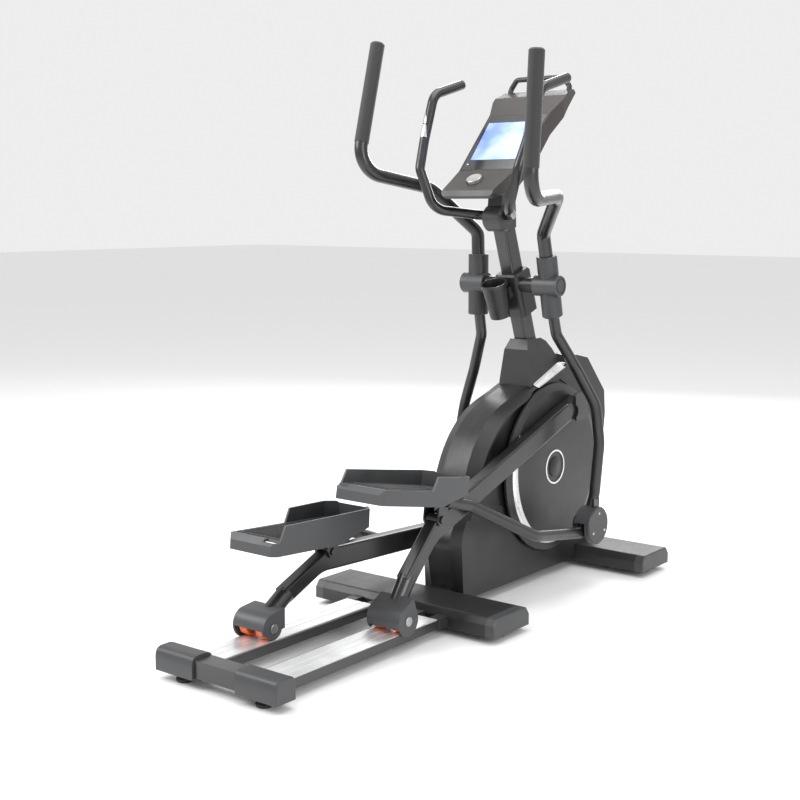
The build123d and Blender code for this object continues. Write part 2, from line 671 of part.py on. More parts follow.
with BuildPart() as drive_pulley:
    with BuildSketch(Plane.YZ.offset(belt_left - 0.5)):
        with Locations((crank_y, crank_z)):
            Circle(drive_pulley_radius)
    extrude(amount=8)
    with BuildSketch(Plane.YZ.offset(belt_left - 2)):
        with Locations((crank_y, crank_z)):
            Circle(drive_pulley_radius + 3.5)
            Circle(drive_pulley_radius - 8, mode=Mode.SUBTRACT)
    extrude(amount=1.5)
    with BuildSketch(Plane.YZ.offset(belt_left - 8)):
        with Locations((crank_y, crank_z)):
            Circle(22)
    extrude(amount=14)
    with BuildSketch(Plane.YZ.offset(belt_left - 10)):
        with Locations((crank_y, crank_z)):
            Circle(crank_shaft_radius)
            with PolarLocations(85, 6):
                Circle(26)
    extrude(amount=20, mode=Mode.SUBTRACT)
save(drive_pulley, "drive_pulley")

reach = hypot(wheel_y - crank_y, wheel_z - crank_z)
heading = atan2(wheel_z - crank_z, wheel_y - crank_y)
lap = acos((drive_pulley_radius - wheel_pulley_radius) / reach)


def rim_point(y, z, radius, angle):
    return (y + radius * cos(angle), z + radius * sin(angle))


def belt_loop(spare):
    """Outline of the belt around both pulleys, a distance off their rims."""
    big, small = drive_pulley_radius + spare, wheel_pulley_radius + spare
    with BuildSketch() as loop:
        with BuildLine():
            up_a = rim_point(crank_y, crank_z, big, heading + lap)
            up_b = rim_point(wheel_y, wheel_z, small, heading + lap)
            low_b = rim_point(wheel_y, wheel_z, small, heading - lap)
            low_a = rim_point(crank_y, crank_z, big, heading - lap)
            Line(up_a, up_b)
            ThreePointArc(up_b, rim_point(wheel_y, wheel_z, small, heading), low_b)
            Line(low_b, low_a)
            ThreePointArc(low_a, rim_point(crank_y, crank_z, big, heading + pi), up_a)
        make_face()
    return loop.sketch


with BuildPart() as drive_belt:
    with BuildSketch(Plane.YZ.offset(belt_left)):
        add(belt_loop(gap + belt_thick))
        add(belt_loop(gap), mode=Mode.SUBTRACT)
    extrude(amount=belt_right - belt_left)
save(drive_belt, "drive_belt")

with BuildPart() as flywheel:
    with BuildSketch(Plane.YZ.offset(-58)):
        with Locations((wheel_y, wheel_z)):
            Circle(wheel_radius)
            Circle(wheel_radius - 22, mode=Mode.SUBTRACT)
    extrude(amount=16)
    with BuildSketch(Plane.YZ.offset(-54)):
        with Locations((wheel_y, wheel_z)):
            Circle(wheel_radius - 20)
    extrude(amount=8)
    with BuildSketch(Plane.YZ.offset(-58)):
        with Locations((wheel_y, wheel_z)):
            Circle(wheel_pulley_radius)
    extrude(amount=26)
    with BuildSketch(Plane.YZ.offset(-60)):
        with Locations((wheel_y, wheel_z)):
            Circle(wheel_shaft_radius + running)
    extrude(amount=40, mode=Mode.SUBTRACT)
save(flywheel, "flywheel")

with BuildPart() as flywheel_axle:
    with BuildSketch(Plane.YZ.offset(-60)):
        with Locations((wheel_y, wheel_z)):
            Circle(wheel_shaft_radius)
    extrude(amount=98)
    with BuildSketch(Plane.YZ.offset(mast_width / 2 + 5)):
        with Locations((wheel_y, wheel_z)):
            RegularPolygon(15, 6)
    extrude(amount=8)
save(flywheel_axle, "flywheel_axle")

run = Vector(0, wheel_y - crank_y, wheel_z - crank_z).normalized()
down = Vector(0, cos(heading - lap), sin(heading - lap))
low_start = Vector(0, crank_y, crank_z) + down * (drive_pulley_radius + 2 * gap + belt_thick + idler_radius)
low_end = Vector(0, wheel_y, wheel_z) + down * (wheel_pulley_radius + 2 * gap + belt_thick + idler_radius)
idler_at = low_start + (low_end - low_start) * 0.5
with BuildPart() as idler:
    with BuildSketch(Plane(origin=(belt_left - 1, idler_at.Y, idler_at.Z), x_dir=(0, 1, 0), z_dir=(1, 0, 0))):
        Circle(idler_radius)
        Circle(idler_stub_radius + running, mode=Mode.SUBTRACT)
    extrude(amount=belt_right - belt_left + 2)
save(idler, "idler")

with BuildPart() as idler_arm:
    with BuildSketch(Plane(origin=(belt_left - 2, idler_at.Y, idler_at.Z), x_dir=(0, 1, 0), z_dir=(1, 0, 0))):
        Circle(idler_stub_radius)
    extrude(amount=12)
    with BuildSketch(Plane.YZ.offset(-beam_half + 5)):
        with BuildLine():
            Polyline((idler_at.Y - 11, idler_at.Z), (idler_at.Y, idler_at.Z + 11), (idler_at.Y + 11, idler_at.Z),
                     (idler_at.Y + 12, beam_high), (idler_at.Y - 28, beam_high), close=True)
        make_face()
    extrude(amount=4)
save(idler_arm, "idler_arm")

with BuildPart() as brake_magnet:
    low = wheel_z - wheel_radius
    with BuildSketch(Plane.YZ.offset(-63)):
        with BuildLine():
            Polyline((wheel_y - 45, low - 14), (wheel_y + 45, low - 14), (wheel_y + 45, low + 24),
                     (wheel_y - 45, low + 24), close=True)
        make_face()
    extrude(amount=26)
    with BuildSketch(Plane.YZ.offset(-60)):
        with Locations((wheel_y, wheel_z)):
            Circle(wheel_radius + 2)
    extrude(amount=20, mode=Mode.SUBTRACT)
    with BuildSketch(Plane.XY.offset(beam_high)):
        with Locations((-33, wheel_y - 30)):
            Rectangle(6, 40)
    extrude(amount=low + 14 - beam_high)
    with BuildSketch(Plane.XY.offset(low - 14)):
        with Locations((-36, wheel_y - 30)):
            Rectangle(12, 40)
    extrude(amount=6)
save(brake_magnet, "brake_magnet")

with BuildPart() as brake_motor:
    with BuildSketch(Plane.XY.offset(beam_high)):
        with Locations((0, 660)):
            RectangleRounded(44, 60, 8)
    extrude(amount=42)
    with BuildSketch(Plane.XY.offset(beam_high + 42)):
        with Locations((0, 660)):
            Circle(14)
    extrude(amount=12)
save(brake_motor, "brake_motor")

ring = [(60, crank_shaft_radius), (60, 30), (84, 32), (96, 60), (96, 258), (84, 284), (84, disc_radius),
        (92, disc_radius), (101, 264), (101, 62), (99, 56), (99, crank_shaft_radius)]
with BuildPart() as crank_discs:
    for sign, lead in ((1, crank_lead), (-1, crank_lead + pi)):
        with BuildSketch(Plane(origin=(0, crank_y, crank_z), x_dir=(1, 0, 0), z_dir=(0, -1, 0))):
            with BuildLine():
                Polyline(*[(sign * x, r) for x, r in ring], close=True)
            make_face()
        revolve(axis=Axis((0, crank_y, crank_z), (1, 0, 0)))
        pin = (crank_y + crank_radius * sin(lead), crank_z + crank_radius * cos(lead))
        with BuildSketch(Plane.YZ.offset(sign * 95)):
            with Locations(pin):
                Circle(20)
        extrude(amount=sign * 9.5)
save(crank_discs, "crank_discs")

# ================= moving members of each side =================
axle_radius = 8.0
wheel_slots = ((80.0, 32.0), (146.0, 31.0))
arm_in, arm_out = arm_x - arm_width / 2, arm_x + arm_width / 2
arm_top = [(92, 78.5), (298.9, 147.3), (1085, 47)]
arm_low = [(1085, -18), (259.5, 83.2), (112, 33.3)]
hollow_top = [(105, 76), (298.5, 140.5), (1070, 43)]
hollow_low = [(1070, -10), (260.5, 90), (122, 43.5)]
neck_start, neck_end, neck_radius = (36.0, 19.0), (114.0, 60.0), 27.0
truck_radius, cover_tip = 45.0, (50.0, 46.0)
truck_in, truck_out, truck_wall = 70.0, 190.0, 6.0
pin_lug = 17.0
hinge_pin = 8.0
cover_inner_x, cover_outer_x, cover_radius, cover_thick = 215.0, 275.0, 64.0, 4.0
sleeve_radius, hub_radius = 34.0, 35.0
upper_radius, lower_radius, grip_radius = 22.0, 18.5, 24.0
link_radius = 19.0
tread_low, tread_high = 85.0, 88.0

for name, sign, g in sides:
    # -- roller truck --
    with BuildPart() as roller_axle:
        with BuildSketch(side_plane(sign * 68.5, g["axle"], 0)):
            Circle(axle_radius)
        extrude(amount=sign * 123)
        with BuildSketch(side_plane(sign * 190.4, g["axle"], 0)):
            Circle(14)
        extrude(amount=sign * 3)
        with BuildSketch(side_plane(sign * 66.6, g["axle"], 0)):
            Circle(14)
        extrude(amount=sign * 3)
        chamfer(roller_axle.edges().filter_by(GeomType.CIRCLE).sort_by(Axis.X)[0], 1)
        chamfer(roller_axle.edges().filter_by(GeomType.CIRCLE).sort_by(Axis.X)[-1], 1)
    save(roller_axle, f"{name}_roller_axle")

    with BuildPart() as rollers:
        for start, width in wheel_slots:
            with BuildSketch(side_plane(sign * start, g["axle"], 0)):
                Circle(roller_radius)
                Circle(axle_radius + running, mode=Mode.SUBTRACT)
            extrude(amount=sign * width)
        chamfer(rollers.edges().filter_by(GeomType.CIRCLE).filter_by(lambda e: e.length > 200), 2)
        for start, width in wheel_slots:
            for face, turn in ((start, 1), (start + width, -1)):
                with BuildSketch(side_plane(sign * face, g["axle"], 0)):
                    Circle(27)
                    Circle(15, mode=Mode.SUBTRACT)
                extrude(amount=sign * turn * 4, mode=Mode.SUBTRACT)
    save(rollers, f"{name}_rollers")

    neck_low = place(sign, g["axle"], g["pitch"], arm_x, *neck_start)
    neck_high = place(sign, g["axle"], g["pitch"], arm_x, *neck_end)
    with BuildPart() as truck_cover:
        for x, reach_x, inner in ((truck_in, truck_wall, True), (truck_out, -truck_wall, False)):
            with BuildSketch(side_plane(sign * x, g["axle"], g["pitch"])):
                Circle(truck_radius)
                with BuildLine():
                    Polyline((0, truck_radius), cover_tip, (44.8, -4.7), (43.4, -12), (0, -12), close=True)
                make_face()
                if inner:
                    with Locations((0, -32)):
                        Rectangle(120, 40, mode=Mode.SUBTRACT)
                    Circle(33.2)
                Circle(axle_radius + 0.5, mode=Mode.SUBTRACT)
            extrude(amount=sign * reach_x)
        with BuildSketch(side_plane(sign * truck_in, g["axle"], g["pitch"])):
            Circle(truck_radius)
            with BuildLine():
                Polyline((0, truck_radius), cover_tip, (44.8, -4.7), (43.4, -12), (0, -12), close=True)
            make_face()
            Circle(truck_radius - 4, mode=Mode.SUBTRACT)
            with BuildLine():
                Polyline((0, truck_radius - 4), (45.6, 42), (43.6, -20), (0, -20), close=True)
            make_face(mode=Mode.SUBTRACT)
            with Locations((0, -37)):
                Rectangle(120, 80, mode=Mode.SUBTRACT)
            with Locations((60, 2)):
                Rectangle(60, 40, mode=Mode.SUBTRACT)
        extrude(amount=sign * (truck_out - truck_in))
        add(bar(neck_low, neck_high, neck_radius), mode=Mode.SUBTRACT)
    save(truck_cover, f"{name}_truck_cover")

    # -- roller arm --
    with BuildPart() as roller_arm:
        with BuildSketch(side_plane(sign * arm_in, g["axle"], g["pitch"])) as arm_side:
            with BuildLine():
                Polyline(*(arm_top + arm_low), close=True)
            make_face()
            fillet(arm_side.vertices().filter_by(lambda v: 200 < v.X < 350), 110)
            fillet(arm_side.vertices().filter_by(lambda v: v.X > 1000), 24)
        extrude(amount=sign * arm_width)
        fillet(roller_arm.faces().filter_by(Axis.X).edges().filter_by(lambda e: e.length > 60), 7)
        with BuildSketch(side_plane(sign * 113.5, g["axle"], g["pitch"])):
            Circle(22)
            with BuildLine():
                Polyline((8, 20), (60, 50), (72, 24), (18, -12), close=True)
            make_face()
        extrude(amount=sign * 31.5)
        add(bar(neck_low, neck_high, neck_radius))
        with BuildSketch(side_plane(sign * arm_in, g["axle"], g["pitch"])):
            with Locations((hinge_along, hinge_up)):
                Circle(pin_lug)
        extrude(amount=sign * arm_width)
        with BuildSketch(side_plane(sign * (arm_in + 1), g["axle"], g["pitch"])):
            with Locations((arm_length, 0)):
                Circle(34)
            with BuildLine():
                Polyline((1040, 48), (1140, 34), (1140, -34), (1040, -10), close=True)
            make_face()
        extrude(amount=sign * (arm_width - 4))
        with BuildSketch(side_plane(sign * (arm_out - 3), g["axle"], g["pitch"])):
            with Locations(Location((arm_length, 0), -22)):
                RectangleRounded(80, 98, 12)
            with Locations((arm_length - 52, 8)):
                Circle(25, mode=Mode.SUBTRACT)
        extrude(amount=sign * 9)
        with BuildSketch(side_plane(sign * (arm_in + 1), g["axle"], g["pitch"])):
            with Locations((arm_length, 0)):
                Circle(14)
        extrude(amount=sign * 30, mode=Mode.SUBTRACT)
        with BuildSketch(side_plane(sign * (arm_in + 3), g["axle"], g["pitch"])) as arm_inside:
            with BuildLine():
                Polyline(*(hollow_top + hollow_low), close=True)
            make_face()
            fillet(arm_inside.vertices().filter_by(lambda v: 200 < v.X < 350), 104)
            with Locations((hinge_along, hinge_up)):
                Circle(hinge_pin + 5, mode=Mode.SUBTRACT)
        extrude(amount=sign * (arm_width - 6), mode=Mode.SUBTRACT)
        with BuildSketch(side_plane(sign * 60, g["axle"], g["pitch"])):
            Circle(axle_radius + running)
        extrude(amount=sign * 150, mode=Mode.SUBTRACT)
        with BuildSketch(side_plane(sign * (arm_in + 3), g["axle"], g["pitch"])):
            with BuildLine():
                Polyline((190, 105), (277, 134), (325, 139), (1040, 50), (1040, -9), (325, 80), (262, 87),
                         (190, 66), close=True)
            make_face()
            with Locations((hinge_along, hinge_up)):
                Circle(hinge_pin + 5, mode=Mode.SUBTRACT)
        extrude(amount=sign * (arm_width - 6), mode=Mode.SUBTRACT)
        with BuildSketch(side_plane(sign * 90, g["axle"], g["pitch"])):
            with Locations((hinge_along, hinge_up)):
                Circle(hinge_pin + running)
        extrude(amount=sign * 80, mode=Mode.SUBTRACT)
    save(roller_arm, f"{name}_roller_arm")

    # -- pedal and its link --
    def link_point(x, along, up):
        return place(sign, g["hinge"], g["tilt"], x, along, up)

    with BuildPart() as pedal_link:
        line = [link_point(158, 5, 58), link_point(171, 110, 48), link_point(231.6, 411.5, -39.7),
                link_point(231, 700, -31), link_point(231, link_length, 0)]
        add(bent_tube(line, link_radius, 0, [60, 120, 30]))
        with BuildSketch(side_plane(sign * 212, g["knuckle"], g["tilt"])):
            Circle(26)
        extrude(amount=sign * 38)
        with BuildSketch(side_plane(sign * 190, g["knuckle"], g["tilt"])):
            Circle(30)
        extrude(amount=sign * 22)
        with BuildSketch(side_plane(sign * 256, g["knuckle"], g["tilt"])):
            Circle(13)
        extrude(amount=-sign * 40, mode=Mode.SUBTRACT)
        for x in (97.3, 148.7):
            with BuildSketch(side_plane(sign * x, g["hinge"], g["tilt"])):
                with BuildLine():
                    Polyline((-20, 0), (-24, 79.5), (30, 79.5), (24, 20), (18, 0), close=True)
                make_face()
                Circle(20)
            extrude(amount=sign * 6)
        with BuildSketch(side_plane(sign * 97.3, g["hinge"], g["tilt"])):
            with BuildLine():
                Polyline((-24, 73.5), (-24, 79.5), (30, 79.5), (30, 73.5), close=True)
            make_face()
        extrude(amount=sign * 57.4)
        with BuildSketch(side_plane(sign * 93.3, g["hinge"], g["tilt"])):
            Circle(hinge_pin)
        extrude(amount=sign * 66)
        for x, width in ((92.3, 5), (154.7, 6)):
            with BuildSketch(side_plane(sign * x, g["hinge"], g["tilt"])):
                Circle(12)
            extrude(amount=sign * width)
    save(pedal_link, f"{name}_pedal_link")

    tray = Plane(origin=(0, *g["hinge"]), x_dir=(1, 0, 0), z_dir=(0, -sin(g["tilt"]), cos(g["tilt"])))
    with BuildPart() as pedal:
        with BuildSketch(tray.offset(43)) as tray_plan:
            with BuildLine():
                Polyline((sign * 12, -335), (sign * 26, -351), (sign * 182, -351), (sign * 196, -335),
                         (sign * 196, 60), (sign * 160, 95), (sign * 48, 95), (sign * 12, 60), close=True)
            make_face()
        extrude(amount=tread_high - 43)
        with BuildSketch(side_plane(0, g["hinge"], g["tilt"])):
            with BuildLine():
                Polyline((-360, 40), (-360, 72), (-351, 72), (-336, 92), (-370, 92), (-370, 40), close=True)
            make_face()
        extrude(amount=sign * 200, mode=Mode.SUBTRACT)
        with BuildSketch(tray.offset(tread_high)):
            with BuildLine():
                Polyline((sign * 12, -322), (sign * 19, -322), (sign * 19, 57), (sign * 51, 88), (sign * 157, 88),
                         (sign * 189, 57), (sign * 189, -116), (sign * 196, -116), (sign * 196, 60),
                         (sign * 160, 95), (sign * 48, 95), (sign * 12, 60), close=True)
            make_face()
        extrude(amount=50)
        with BuildSketch(side_plane(0, g["hinge"], g["tilt"])):
            with BuildLine():
                Polyline((-330, 80), (-322, 88), (-305, 127), (-120, 131.5), (84, 137), (100, 120), (100, 150),
                         (-370, 150), (-370, 80), close=True)
            make_face()
        extrude(amount=sign * 60, mode=Mode.SUBTRACT)
        with BuildSketch(side_plane(sign * 60, g["hinge"], g["tilt"])):
            with BuildLine():
                Polyline((-150, 88), (-116, 88), (-98, 131), (84, 137), (100, 120), (100, 150), (-370, 150),
                         (-370, 88), close=True)
            make_face()
        extrude(amount=sign * 150, mode=Mode.SUBTRACT)
        with BuildSketch(tray.offset(30)):
            with BuildLine():
                Polyline((sign * 16, -324), (sign * 28, -337), (sign * 180, -337), (sign * 192, -324),
                         (sign * 192, 58), (sign * 158, 91), (sign * 50, 91), (sign * 16, 58), close=True)
            make_face()
        extrude(amount=50, mode=Mode.SUBTRACT)
        with BuildSketch(side_plane(0, g["hinge"], g["tilt"])):
            with BuildLine():
                Polyline((-60, 20), (-60, 43), (-20, 58), (60, 80), (110, 80), (110, 20), close=True)
            make_face()
        extrude(amount=sign * 200, mode=Mode.SUBTRACT)
    save(pedal, f"{name}_pedal")

    with BuildPart() as pedal_tread:
        with BuildSketch(tray.offset(tread_high)):
            with BuildLine():
                Polyline((sign * 21, -320), (sign * 187, -320), (sign * 187, 56), (sign * 156, 86),
                         (sign * 52, 86), (sign * 21, 56), close=True)
            make_face()
        extrude(amount=2)
        with BuildSketch(tray.offset(tread_high + 2)):
            with Locations((sign * 104, -130)):
                with GridLocations(11, 0, 13, 1):
                    Rectangle(4, 360)
        extrude(amount=2)
    save(pedal_tread, f"{name}_pedal_tread")

    # -- handle --
    upper = (handle_y, handle_z)

    def handle_point(x, along, up):
        return place(sign, upper, g["swing"], x, along, up)

    sleeve_top, sleeve_low = handle_point(142.5, 3, 98), handle_point(141, 17, -107)
    rise = (sleeve_top - sleeve_low).normalized()
    lower_line = [sleeve_low + rise * 45, handle_point(137, 38, -175), handle_point(185, 73, -300),
                  handle_point(236, 97, -430), handle_point(246, 86, -560), handle_point(238, 43, -740),
                  handle_point(237.4, 18, -770.6)]
    upper_line = [sleeve_top - rise * 40, handle_point(143, -7, 171), handle_point(273, -113, 311),
                  handle_point(357, -402, 343), handle_point(364, -317, 754)]
    lower_bends, upper_bends = [60, 120, 120, 120, 120], [40, 70, 85]

    with BuildPart() as lower_bar:
        add(bent_tube(lower_line, lower_radius, 0, lower_bends))
        with BuildSketch(side_plane(sign * 255, g["knuckle"], g["swing"])):
            with BuildLine():
                Polyline((-16, -6), (2, 92), (38, 84), (16, -6), close=True)
            make_face()
            Circle(18)
        extrude(amount=sign * 7)
        with BuildSketch(side_plane(sign * 256, g["knuckle"], g["swing"])):
            Circle(12)
        extrude(amount=-sign * 4)
    save(lower_bar, f"{name}_lower_bar")

    with BuildPart() as upper_handle:
        add(bent_tube(upper_line, upper_radius, 0, upper_bends))
    save(upper_handle, f"{name}_upper_handle")

    with BuildPart() as pivot_sleeve:
        add(bar(sleeve_low, sleeve_top, sleeve_radius))
        chamfer(pivot_sleeve.edges().filter_by(GeomType.CIRCLE), 3)
        with BuildSketch(side_plane(sign * 99, upper, 0)):
            Circle(hub_radius)
        extrude(amount=sign * 92)
        chamfer(pivot_sleeve.faces().sort_by(lambda f: abs(f.center().X))[-1].edges(), 2.5)
        with BuildSketch(side_plane(sign * 189, upper, 0)):
            Circle(26)
            Circle(22, mode=Mode.SUBTRACT)
        extrude(amount=sign * 4, mode=Mode.SUBTRACT)
        with BuildSketch(side_plane(sign * 90, upper, 0)):
            Circle(pivot_radius + running)
        extrude(amount=sign * 83, mode=Mode.SUBTRACT)
        add(upper_handle.part, mode=Mode.SUBTRACT)
        add(lower_bar.part, mode=Mode.SUBTRACT)
    save(pivot_sleeve, f"{name}_pivot_sleeve")

    grip_low = handle_point(357, -402, 343) + (handle_point(364, -317, 754) - handle_point(357, -402, 343)) * 0.22
    grip_top = handle_point(364, -317, 754)
    along_grip = (grip_top - grip_low).normalized()
    with BuildPart() as grip:
        add(bar(grip_low, grip_top + along_grip * 10, grip_radius))
        chamfer(grip.edges().filter_by(GeomType.CIRCLE).sort_by(Axis.Z)[0], 1.8)
        chamfer(grip.edges().filter_by(GeomType.CIRCLE).sort_by(Axis.Z)[-1], 5)
        add(upper_handle.part, mode=Mode.SUBTRACT)
    save(grip, f"{name}_grip")

    with BuildPart() as lower_pivot_cover:
        with BuildSketch(side_plane(sign * cover_inner_x, g["knuckle"], g["swing"])):
            Circle(cover_radius)
        extrude(amount=sign * (cover_outer_x - cover_inner_x))
        chamfer(lower_pivot_cover.faces().sort_by(lambda f: abs(f.center().X))[-1].edges(), 4)
        with BuildSketch(side_plane(sign * (cover_inner_x - 1), g["knuckle"], g["swing"])):
            Circle(cover_radius - cover_thick)
        extrude(amount=sign * (263 - cover_inner_x + 1), mode=Mode.SUBTRACT)
        with BuildSketch(side_plane(sign * (cover_inner_x - 1), g["knuckle"], g["swing"])):
            with BuildLine():
                Polyline((0, -70), (-70, -70), (-70, 24), (0, 24), close=True)
            make_face()
        extrude(amount=sign * (256 - cover_inner_x), mode=Mode.SUBTRACT)
        add(lower_bar.part, mode=Mode.SUBTRACT)
    save(lower_pivot_cover, f"{name}_lower_pivot_cover")
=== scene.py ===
import bmesh
import bpy
import json
from math import asin, cos, hypot, pi, radians, sin
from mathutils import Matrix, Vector


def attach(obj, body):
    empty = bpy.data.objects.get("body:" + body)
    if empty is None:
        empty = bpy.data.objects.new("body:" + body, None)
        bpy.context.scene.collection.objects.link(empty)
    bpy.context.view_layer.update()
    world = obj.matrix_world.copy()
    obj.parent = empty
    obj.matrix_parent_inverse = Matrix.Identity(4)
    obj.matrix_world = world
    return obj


# Elliptical trainer: looks. Metres, in the CAD frame: +X right, +Y front, +Z up.

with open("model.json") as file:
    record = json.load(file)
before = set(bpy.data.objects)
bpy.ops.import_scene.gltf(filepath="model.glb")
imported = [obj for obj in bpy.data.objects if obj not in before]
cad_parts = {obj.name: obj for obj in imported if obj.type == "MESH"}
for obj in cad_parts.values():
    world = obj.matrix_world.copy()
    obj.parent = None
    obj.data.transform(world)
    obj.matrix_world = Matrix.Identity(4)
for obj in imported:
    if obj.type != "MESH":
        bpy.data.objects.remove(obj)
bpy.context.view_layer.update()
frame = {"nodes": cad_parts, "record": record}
nodes = frame["nodes"]

# ---- places shared with the CAD, in metres ----
CRANK = Vector((0, 0.578, 0.393))
PIVOT = Vector((0, 0.4475, 1.0215))
CRANK_RADIUS, CRANK_LEAD = 0.2243, radians(22.5)
AXLE_HEIGHT, ARM_LENGTH = 0.093, 1.139
HINGE_ALONG, HINGE_UP = 0.301, 0.136
LINK_LENGTH, HANDLE_LENGTH = 0.742, 0.822


def knuckle(lead):
    """Pivot (y, z) between the pedal link and the handle of one side, from its crank's lead."""
    pin = (CRANK.y + CRANK_RADIUS * sin(lead), CRANK.z + CRANK_RADIUS * cos(lead))
    pitch = asin((pin[1] - AXLE_HEIGHT) / ARM_LENGTH)
    axle_y = pin[0] - ARM_LENGTH * cos(pitch)
    hinge = (axle_y + HINGE_ALONG * cos(pitch) - HINGE_UP * sin(pitch),
             AXLE_HEIGHT + HINGE_ALONG * sin(pitch) + HINGE_UP * cos(pitch))
    dy, dz = PIVOT.y - hinge[0], PIVOT.z - hinge[1]
    span = hypot(dy, dz)
    near = (LINK_LENGTH ** 2 - HANDLE_LENGTH ** 2 + span * span) / (2 * span)
    off = (LINK_LENGTH ** 2 - near * near) ** 0.5
    return (hinge[0] + (near * dy + off * dz) / span, hinge[1] + (near * dz - off * dy) / span)


SIDES = (("right", 1, knuckle(CRANK_LEAD)), ("left", -1, knuckle(CRANK_LEAD + pi)))


# ---- materials ----
COAT_ROUGHNESS = 0.15
MOTTLE_SCALE, RELIEF_DEPTH = 14.0, 0.0004
EDGE_WEAR = 0.5


def finish(name, colour, rough, metal=0.0, grain=900.0, bump=0.08, vary=0.25, coat=0.0, sheen=0.0):
    """A surface with fine grain, mottled colour, paler worn edges and uneven gloss."""
    m = bpy.data.materials.new(name)
    m.use_nodes = True
    n, l = m.node_tree.nodes, m.node_tree.links
    b = n["Principled BSDF"]
    b.inputs["Metallic"].default_value = metal
    b.inputs["Coat Weight"].default_value = coat
    b.inputs["Coat Roughness"].default_value = COAT_ROUGHNESS
    b.inputs["Sheen Weight"].default_value = sheen
    at = n.new("ShaderNodeTexCoord")
    broad = n.new("ShaderNodeTexNoise")
    broad.inputs["Scale"].default_value = MOTTLE_SCALE
    broad.inputs["Detail"].default_value = 6.0
    fine = n.new("ShaderNodeTexNoise")
    fine.inputs["Scale"].default_value = grain
    fine.inputs["Detail"].default_value = 3.0
    l.new(at.outputs["Object"], broad.inputs["Vector"])
    l.new(at.outputs["Object"], fine.inputs["Vector"])
    tint = n.new("ShaderNodeValToRGB")
    tint.color_ramp.elements[0].position = 0.3
    tint.color_ramp.elements[1].position = 0.72
    low = [c * (1 - vary) for c in colour]
    high = [min(1.0, c * (1 + vary)) for c in colour]
    tint.color_ramp.elements[0].color = (*low, 1)
    tint.color_ramp.elements[1].color = (*high, 1)
    l.new(broad.outputs["Fac"], tint.inputs["Fac"])
    shape = n.new("ShaderNodeNewGeometry")
    rub = n.new("ShaderNodeMapRange")
    rub.inputs["From Min"].default_value = 0.53
    rub.inputs["From Max"].default_value = 0.64
    rub.inputs["To Max"].default_value = EDGE_WEAR
    l.new(shape.outputs["Pointiness"], rub.inputs["Value"])
    worn = n.new("ShaderNodeMix")
    worn.data_type = "RGBA"
    worn.inputs[7].default_value = (*[min(1.0, c * 1.6 + 0.02) for c in colour], 1)
    l.new(rub.outputs["Result"], worn.inputs[0])
    l.new(tint.outputs["Color"], worn.inputs[6])
    l.new(worn.outputs[2], b.inputs["Base Color"])
    gloss = n.new("ShaderNodeMapRange")
    gloss.inputs["From Min"].default_value = 0.25
    gloss.inputs["From Max"].default_value = 0.75
    gloss.inputs["To Min"].default_value = max(0.03, rough - 0.07)
    gloss.inputs["To Max"].default_value = min(1.0, rough + 0.09)
    l.new(broad.outputs["Fac"], gloss.inputs["Value"])
    l.new(gloss.outputs["Result"], b.inputs["Roughness"])
    relief = n.new("ShaderNodeBump")
    relief.inputs["Strength"].default_value = bump
    relief.inputs["Distance"].default_value = RELIEF_DEPTH
    l.new(fine.outputs["Fac"], relief.inputs["Height"])
    l.new(relief.outputs["Normal"], b.inputs["Normal"])
    return m


MATS = {
    "frame_paint": finish("frame_paint", (0.009, 0.009, 0.0095), 0.32, grain=500, bump=0.06, coat=0.3),
    "steel": finish("steel", (0.42, 0.42, 0.43), 0.3, metal=1.0, grain=400, bump=0.05),
    "track_aluminium": finish("track_aluminium", (0.72, 0.73, 0.74), 0.38, metal=0.75, grain=300, bump=0.05,
                              vary=0.06),
    "sensor_chrome": finish("sensor_chrome", (0.55, 0.55, 0.56), 0.22, metal=1.0, grain=200, bump=0.02,
                            vary=0.08),
    "display_glass": finish("display_glass", (0.014, 0.013, 0.014), 0.12, grain=60, bump=0.0, vary=0.1,
                            coat=0.6),
    "flywheel_iron": finish("flywheel_iron", (0.16, 0.16, 0.165), 0.42, metal=1.0, grain=350, bump=0.12),
    "belt_rubber": finish("belt_rubber", (0.012, 0.012, 0.012), 0.7, grain=600, bump=0.2),
    "foot_rubber": finish("foot_rubber", (0.02, 0.02, 0.02), 0.75, grain=500, bump=0.2),
    "dial_metal": finish("dial_metal", (0.5, 0.49, 0.48), 0.3, metal=0.85, grain=300, bump=0.04, vary=0.08),
    "console_plastic": finish("console_plastic", (0.024, 0.02, 0.018), 0.4, grain=1400, bump=0.1, vary=0.14),
    "handle_plastic": finish("handle_plastic", (0.022, 0.021, 0.02), 0.35, grain=900, bump=0.06),
    "grey_plastic": finish("grey_plastic", (0.034, 0.035, 0.037), 0.44, grain=1100, bump=0.1, vary=0.14),
    "disc_plastic": finish("disc_plastic", (0.02, 0.02, 0.0215), 0.38, grain=1200, bump=0.05, vary=0.1),
    "roller_urethane": finish("roller_urethane", (0.85, 0.12, 0.012), 0.38, grain=700, bump=0.06, vary=0.15),
    "pedal_plastic": finish("pedal_plastic", (0.034, 0.036, 0.039), 0.46, grain=1000, bump=0.12, vary=0.14),
    "tread_rubber": finish("tread_rubber", (0.015, 0.015, 0.0165), 0.62, grain=420, bump=0.35, vary=0.3),
    "grip_foam": finish("grip_foam", (0.011, 0.011, 0.0115), 0.68, grain=750, bump=0.35, vary=0.3, sheen=0.2),
    "black_plastic": finish("black_plastic", (0.009, 0.009, 0.0095), 0.4, grain=1300, bump=0.1, vary=0.16),
}
WHITE = finish("marking_white", (0.78, 0.78, 0.79), 0.4, grain=500, bump=0.02, vary=0.04)
SILVER = finish("marking_silver", (0.62, 0.63, 0.64), 0.3, metal=0.5, grain=300, bump=0.03, vary=0.06)

for part in frame["record"]["subparts"]:
    node = nodes[part["node"]]
    for place in node.material_slots:
        place.material = MATS[part["material_slot"]]


